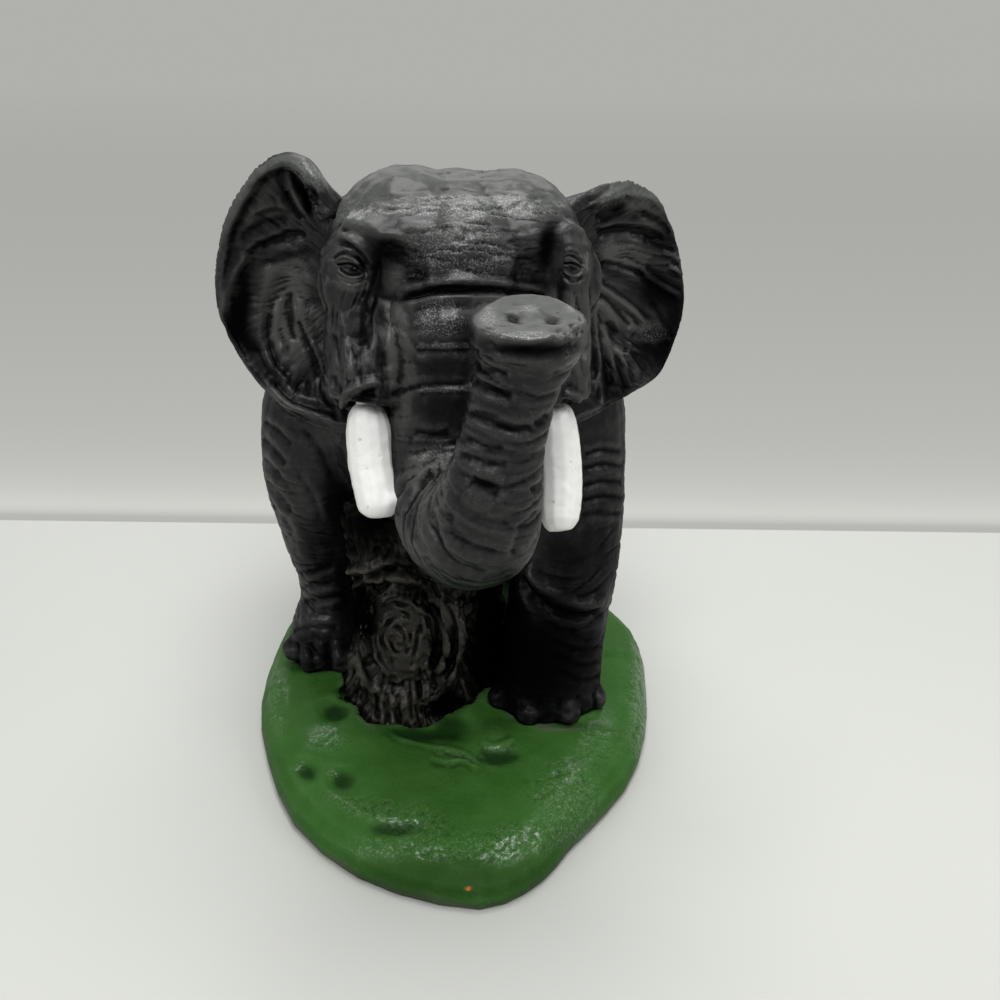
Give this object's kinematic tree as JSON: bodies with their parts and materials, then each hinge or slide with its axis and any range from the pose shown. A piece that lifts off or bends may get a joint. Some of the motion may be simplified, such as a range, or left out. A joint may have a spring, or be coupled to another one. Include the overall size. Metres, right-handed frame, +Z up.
{
  "type": "toy elephant figure",
  "caption": "Painted toy elephant with a raised trunk and white tusks, striding over a tree stump on a rounded green grass base.",
  "frame": {"origin": "centre of the base's flat underside", "axes": "+Z up, -Y the way the elephant faces, +X towards its own left side"},
  "size_m": [0.1203, 0.191, 0.1702],
  "materials": {
    "hide": "satin charcoal paint over a cast resin body, with a grey sheen on raised wrinkles",
    "ivory": "glossy white paint with pinholes and small lumps",
    "bark": "satin near-black paint over rough carved bark",
    "grass": "satin stippled grass green paint, worn grey-brown at the lower edge"
  },
  "bodies": {
    "root": {"base": "grass", "stump": "bark", "torso": "hide", "head": "hide", "trunk": "hide", "ear_left": "hide", "ear_right": "hide", "tusk_left": "ivory", "tusk_right": "ivory", "leg_front_left": "hide", "leg_front_right": "hide", "leg_hind_left": "hide", "leg_hind_right": "hide", "tail": "hide"}
  },
  "joints": []
}
